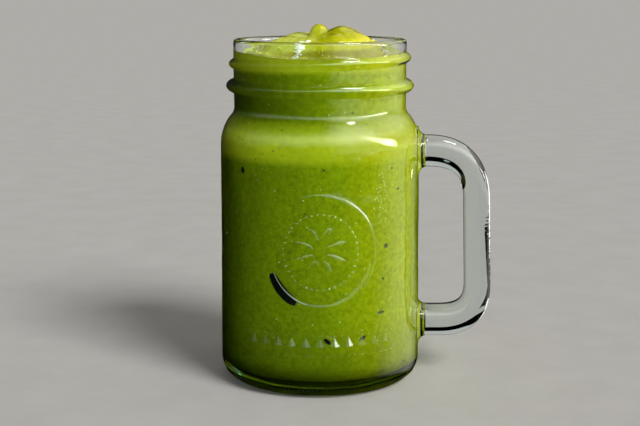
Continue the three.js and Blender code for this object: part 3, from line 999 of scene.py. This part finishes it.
def smoothie(body_material, top_material, shaded_bubble_material, glint_bubble_material, shaded_pocket_material):
    piece = smoothie_body(body_material, top_material)
    for air in (
        # The walls of fine bubbles take painted highlights, those of listed bubbles painted shade, those of
        # pockets near black painted shade
        air_cutter(fine_air(), glint_bubble_material),
        air_cutter(listed_air(BUBBLES), shaded_bubble_material),
        air_cutter(listed_air(SMALL_POCKETS), shaded_pocket_material),
        crescent("pocket", POCKET, 0, shaded_pocket_material),
    ):
        piece = combined(piece, air, "DIFFERENCE")
    piece.data.shade_smooth()
    piece.data.set_sharp_from_angle(angle=SMOOTHIE_SHARP_ANGLE)
    dress(piece, "smoothie", "smoothie")


def specks(material):
    """Flecks of leaf in the smoothie's skin against the glass."""
    draw = np.random.default_rng(SPECK_SEED)
    angles = draw.uniform(-math.pi, math.pi, SPECKS)
    heights = draw.uniform(INNER_HEEL_ROUND + JAR_FLOOR, LEVEL - SPECK_CLEARANCE, SPECKS)
    tilts = draw.uniform(0, math.pi, SPECKS)
    low, high = SPECK_SIZES
    size = low + (high - low) * draw.power(SPECK_SIZE_POWER, SPECKS)
    slim = size * draw.uniform(SPECK_SLIMMEST, 1, SPECKS)
    centres = round_points(angles, wall_spot(heights) + SPECK_PROUD - SPECK_THICKNESS, heights)
    frames = wall_frames(angles, tilts, size, slim, SPECK_THICKNESS)
    dress(scattered("leaf_specks", SPECK_BALL, centres, frames, material), "smoothie")


def froth(material):
    """Small domes of froth where the smoothie meets the glass and on the slopes of the mound."""
    draw = np.random.default_rng(FROTH_SEED)
    angles = draw.uniform(-math.pi, math.pi, FROTH)
    bore = NECK_RADIUS - NECK_WALL
    low, high = FROTH_SIZES
    size = low + (high - low) * draw.power(FROTH_SIZE_POWER, FROTH)
    reach = bore - size - draw.power(FROTH_PLACE_POWER, FROTH) * FROTH_REACH
    x = reach * np.sin(angles)
    y = -reach * np.cos(angles)
    centres = np.stack([x, y, surface_height(x, y)], axis=-1) + AXIS
    frames = size[:, None, None] * np.eye(3)
    dress(scattered("froth", FROTH_BALL, centres, frames, material), "smoothie")


# Materials


def new_material(name):
    material = bpy.data.materials.new(name)
    material.use_nodes = True
    nodes = material.node_tree.nodes
    return material, nodes, material.node_tree.links, nodes["Principled BSDF"]


def set_inputs(node, values):
    for name, value in values.items():
        node.inputs[name].default_value = value


def ramp(nodes, links, value, stops):
    """A colour, or with plain numbers a grey, that follows a value through (place, colour) stops."""
    node = nodes.new("ShaderNodeValToRGB")
    elements = node.color_ramp.elements
    while len(elements) < len(stops):
        elements.new(0.5)
    for element, (position, colour) in zip(elements, stops):
        element.position = position
        element.color = (*colour, 1) if isinstance(colour, tuple) else (colour, colour, colour, 1)
    links.new(value, node.inputs["Fac"])
    return node.outputs["Color"]


def mottle(nodes, links, scale, detail, roughness, stops):
    """A colour that varies through the piece, by a noise and a ramp."""
    place = nodes.new("ShaderNodeTexCoord")
    noise = nodes.new("ShaderNodeTexNoise")
    set_inputs(noise, {"Scale": scale, "Detail": detail, "Roughness": roughness})
    links.new(place.outputs["Object"], noise.inputs["Vector"])
    return ramp(nodes, links, noise.outputs["Fac"], stops)


def mixed(nodes, links, share, first, second):
    node = nodes.new("ShaderNodeMix")
    node.data_type = "RGBA"
    links.new(share, node.inputs["Factor"])
    links.new(first, node.inputs["A"])
    links.new(second, node.inputs["B"])
    return node.outputs["Result"]


def glass_material():
    material, nodes, links, shader = new_material("glass")
    set_inputs(shader, {"Base Color": GLASS_COLOUR, "Roughness": 0.0})
    set_inputs(shader, {"IOR": GLASS_IOR, "Transmission Weight": 1.0})
    tint = nodes.new("ShaderNodeVolumeAbsorption")
    set_inputs(tint, {"Color": GLASS_TINT, "Density": GLASS_TINT_DENSITY})
    links.new(tint.outputs["Volume"], nodes["Material Output"].inputs["Volume"])
    return material


def smoothie_material(name, first_colour, layers, roughness, specular):
    """Finely mottled, with layers, some of painted shade, painted light or painted sheen, whose amount is
    the product of shares that each follow an axis.
    """
    material, nodes, links, shader = new_material(name)
    place = nodes.new("ShaderNodeTexCoord")
    split = nodes.new("ShaderNodeSeparateXYZ")
    links.new(place.outputs["Object"], split.inputs["Vector"])
    colour = mottle(nodes, links, *DRINK_MOTTLE, first_colour)
    for layer_colour, shares in layers:
        layer = mottle(nodes, links, *LAYER_MOTTLE, layer_colour)
        for axis, (low, high), stops in shares:
            share = nodes.new("ShaderNodeMapRange")
            set_inputs(share, {"From Min": low, "From Max": high})
            links.new(split.outputs[axis], share.inputs["Value"])
            layer = mixed(nodes, links, ramp(nodes, links, share.outputs["Result"], stops), colour, layer)
        colour = layer
    links.new(colour, shader.inputs["Base Color"])
    set_inputs(shader, {"Roughness": roughness, "Specular IOR Level": specular})
    return material


def small_material(name):
    """The mottled stuff of leaf and froth, the painted shade in the walls of bubbles and pockets, and the
    white of painted highlights.
    """
    material, nodes, links, shader = new_material(name)
    dark, light, roughness = SMALL_MATERIALS[name]
    colour = mottle(nodes, links, *SMALL_MOTTLE, list(zip(MOTTLE_ENDS, (dark, light))))
    links.new(colour, shader.inputs["Base Color"])
    set_inputs(shader, {"Roughness": roughness})
    return material


def floor_material():
    material, nodes, links, shader = new_material("floor")
    colour = mottle(nodes, links, *FLOOR_MOTTLE, list(zip(MOTTLE_ENDS, FLOOR_COLOURS)))
    links.new(colour, shader.inputs["Base Color"])
    set_inputs(shader, {"Roughness": FLOOR_ROUGHNESS, "Specular IOR Level": 0.0})
    return material


# Stage: floor, lights and camera


def floor():
    """A wide floor that the glass doesn't mirror, so that the drink keeps its depth of colour."""
    corners = [(-1, -1, 0), (1, -1, 0), (1, 1, 0), (-1, 1, 0)]
    piece = mesh_object("floor", FLOOR_HALF * np.array(corners), [[0, 1, 2, 3]], floor_material())
    piece.visible_glossy = False
    STAGE.objects.link(piece)


def place_from(nodes, links, centre):
    """The place of a shaded point from a centre."""
    spot = nodes.new("ShaderNodeNewGeometry")
    offset = nodes.new("ShaderNodeVectorMath")
    offset.operation = "SUBTRACT"
    offset.inputs[1].default_value = centre
    links.new(spot.outputs["Position"], offset.inputs[0])
    return offset.outputs["Vector"]


def soften(light, lamp):
    """Fades an area light from its middle to an oval edge."""
    light.use_nodes = True
    nodes = light.node_tree.nodes
    links = light.node_tree.links
    place = place_from(nodes, links, lamp.location)
    oval = nodes.new("ShaderNodeCombineXYZ")
    turn = lamp.rotation_euler.to_matrix()
    for column, size in enumerate((light.size, light.size_y)):
        share = nodes.new("ShaderNodeVectorMath")
        share.operation = "DOT_PRODUCT"
        share.inputs[1].default_value = turn.col[column] * (2 / size)
        links.new(place, share.inputs[0])
        links.new(share.outputs["Value"], oval.inputs[column])
    away = nodes.new("ShaderNodeVectorMath")
    away.operation = "LENGTH"
    links.new(oval.outputs["Vector"], away.inputs[0])
    fade = nodes.new("ShaderNodeMapRange")
    fade.interpolation_type = "SMOOTHSTEP"
    set_inputs(fade, {"From Min": LAMP_FADE_END, "From Max": LAMP_FADE_START})
    links.new(away.outputs["Value"], fade.inputs["Value"])
    links.new(fade.outputs["Result"], nodes["Emission"].inputs["Strength"])


def towards(azimuth, elevation):
    """The way from the jar to a light; azimuth 0 is in front, growing towards the handle."""
    turn = math.radians(azimuth)
    rise = math.radians(elevation)
    return Vector((math.sin(turn) * math.cos(rise), -math.cos(turn) * math.cos(rise), math.sin(rise)))


def add_lamp(name, kind, power, colour, away, lit):
    """A lamp that shines from one way on one collection alone."""
    light = bpy.data.lights.new(name, kind)
    light.energy = power
    light.color = colour
    lamp = add_object(name, light)
    lamp.rotation_euler = away.to_track_quat("Z", "Y").to_euler()
    lamp.light_linking.receiver_collection = lit
    return light, lamp


def floor_light():
    """Even light for the floor alone, so that it has a soft shadow and no hot spots."""
    away = towards(*FLOOR_LIGHT_FROM)
    light, _ = add_lamp("floor_light", "SUN", FLOOR_LIGHT_STRENGTH, FLOOR_LIGHT_COLOUR, away, STAGE)
    light.angle = FLOOR_LIGHT_WIDTH


def area_light(name, azimuth, elevation, distance, size, power, colour):
    """A soft light aimed at the jar, which lights the pieces alone and isn't mirrored in them."""
    away = towards(azimuth, elevation)
    light, lamp = add_lamp(name, "AREA", power, colour, away, PIECES)
    light.shape = "RECTANGLE"
    light.size, light.size_y = size
    lamp.location = Vector(ROOM_CENTRE) + distance * away
    lamp.visible_camera = False
    lamp.visible_glossy = False
    soften(light, lamp)


def room_material():
    """What the glass mirrors: glows that each fade in and out round the room and up it."""
    material, nodes, links, _ = new_material("room")
    material.cycles.emission_sampling = "NONE"
    nodes.clear()

    def maths(operation, *values):
        node = nodes.new("ShaderNodeMath")
        node.operation = operation
        for value, socket in zip(values, node.inputs):
            if isinstance(value, (int, float)):
                socket.default_value = value
            else:
                links.new(value, socket)
        return node.outputs["Value"]

    split = nodes.new("ShaderNodeSeparateXYZ")
    links.new(place_from(nodes, links, ROOM_CENTRE), split.inputs["Vector"])
    turn = maths("ARCTAN2", split.outputs["X"], maths("MULTIPLY", split.outputs["Y"], -1))
    round_share = maths("ADD", maths("DIVIDE", turn, TURN), 0.5)
    height_share = maths("ADD", maths("DIVIDE", split.outputs["Z"], 2 * ROOM_RADIUS), 0.5)
    total = 0.0
    for strength, round_stops, height_stops, lean in ROOM_GLOWS:
        middle = round_stops[len(round_stops) // 2][0]
        round_stops = [(azimuth / 360 + 0.5, level) for azimuth, level in round_stops]
        height_stops = [(rise / 2 + 0.5, level) for rise, level in height_stops]
        beside = ramp(nodes, links, round_share, round_stops)
        slope = lean * 360 / 2
        leaning = maths("MULTIPLY_ADD", round_share, -slope, height_share)
        leaning = maths("ADD", leaning, slope * (middle / 360 + 0.5))
        above = ramp(nodes, links, leaning, height_stops)
        total = maths("ADD", maths("MULTIPLY", maths("MULTIPLY", beside, above), strength), total)
    glow = nodes.new("ShaderNodeEmission")
    glow.inputs["Color"].default_value = ROOM_COLOUR
    links.new(total, glow.inputs["Strength"])
    output = nodes.new("ShaderNodeOutputMaterial")
    links.new(glow.outputs["Emission"], output.inputs["Surface"])
    return material


def room():
    """A large ball round the scene that shows in mirror reflections alone."""
    points, faces = ball(*ROOM_BALL)
    piece = mesh_object("room", ROOM_RADIUS * points + ROOM_CENTRE, faces, room_material())
    seen_only_by(piece, "glossy")


def seen_only_by(piece, kind):
    """Makes a piece of the stage show to one kind of ray alone."""
    for other in RAY_KINDS:
        setattr(piece, "visible_" + other, other == kind)


def plain_glow(name, colour, strength):
    material, _, _, shader = new_material(name)
    material.cycles.emission_sampling = "NONE"
    set_inputs(shader, {"Base Color": (0, 0, 0, 1), "Specular IOR Level": 0})
    set_inputs(shader, {"Emission Color": (*colour, 1), "Emission Strength": strength})
    return material


def dark_mat():
    """A dark mat round the foot, turned up behind it, met only by what goes through the glass."""
    outline = [
        (-MAT_REACH, -MAT_REACH), (MAT_SIDE, -MAT_REACH), (MAT_SIDE, MAT_CORNER), (MAT_RIGHT, MAT_CORNER),
        (MAT_RIGHT, 0), (MAT_SIDE, 0), (MAT_SIDE, MAT_BACK), (-MAT_REACH, MAT_BACK),
    ]
    edge = [
        (MAT_EDGE_LEFT, MAT_EDGE, MAT_RISE),
        (MAT_EDGE_RIGHT, MAT_EDGE, MAT_RISE),
        (MAT_EDGE_RIGHT, MAT_EDGE, MAT_EDGE_RISE),
        (MAT_EDGE_LEFT, MAT_EDGE, MAT_EDGE_RISE),
    ]
    points = [(x, y, MAT_RISE) for x, y in outline] + edge
    corners = list(range(len(points)))
    faces = [corners[:len(outline)], corners[len(outline):]]
    material = plain_glow("mat", (0, 0, 0), 0)
    seen_only_by(mesh_object("dark_mat", points, faces, material), "transmission")


def glow_wall(name, first, last, radius, low, high, strength):
    """A pale wall round the jar's axis, seen through the glass alone."""
    turn = np.radians(np.linspace(first, last, GLOW_WALL_STEPS + 1))
    grid = np.stack([round_points(turn, radius, low), round_points(turn, radius, high)])
    above = len(turn)
    faces = [[here, here + 1, here + 1 + above, here + above] for here in range(GLOW_WALL_STEPS)]
    material = plain_glow(name, (1, 1, 1), strength)
    seen_only_by(mesh_object(name, grid.reshape(-1, 3), faces, material), "transmission")


def studio():
    world = bpy.data.worlds.new("studio")
    world.use_nodes = True
    background = world.node_tree.nodes["Background"]
    set_inputs(background, {"Color": WORLD_COLOUR, "Strength": WORLD_STRENGTH})
    world.cycles_visibility.transmission = False
    world.cycles_visibility.glossy = False
    bpy.context.scene.world = world


def lights():
    for lamp in LAMPS:
        area_light(*lamp)
    floor_light()
    studio()
    room()
    dark_mat()
    for wall in GLOW_WALLS:
        glow_wall(*wall)


def camera():
    data = bpy.data.cameras.new("camera")
    data.sensor_width = SENSOR_WIDTH
    data.lens = FOCAL_PIXELS * SENSOR_WIDTH / IMAGE_WIDTH
    data.clip_start, data.clip_end = CAMERA_CLIP
    piece = add_object("camera", data)
    piece.location = Vector(AXIS) + Vector((0, -CAMERA_DISTANCE, CAMERA_HEIGHT))
    piece.rotation_euler = (math.pi / 2 - CAMERA_TILT, 0, 0)
    bpy.context.scene.camera = piece


# The scene

bpy.context.scene.view_settings.view_transform = "Standard"
camera()
lights()
floor()
jar(glass_material())
smoothie(
    smoothie_material("smoothie_in_glass", GREEN, SIDE_LAYERS, *SIDE_FINISH),
    smoothie_material("smoothie_wet_top", YELLOW_GREEN, TOP_LAYERS, *TOP_FINISH),
    # Painted shade in bubbles and pockets, painted highlights on the walls of fine bubbles
    small_material("shaded_bubble_wall"),
    small_material("glint_bubble_wall"),
    small_material("shaded_pocket_wall"),
)
specks(small_material("leaf"))
# White that stands in for glints: painted highlights along the pocket and down the mound
glint_white = small_material("glint_white")
glint_line(glint_white)
glint_streak(glint_white)
froth(small_material("froth"))
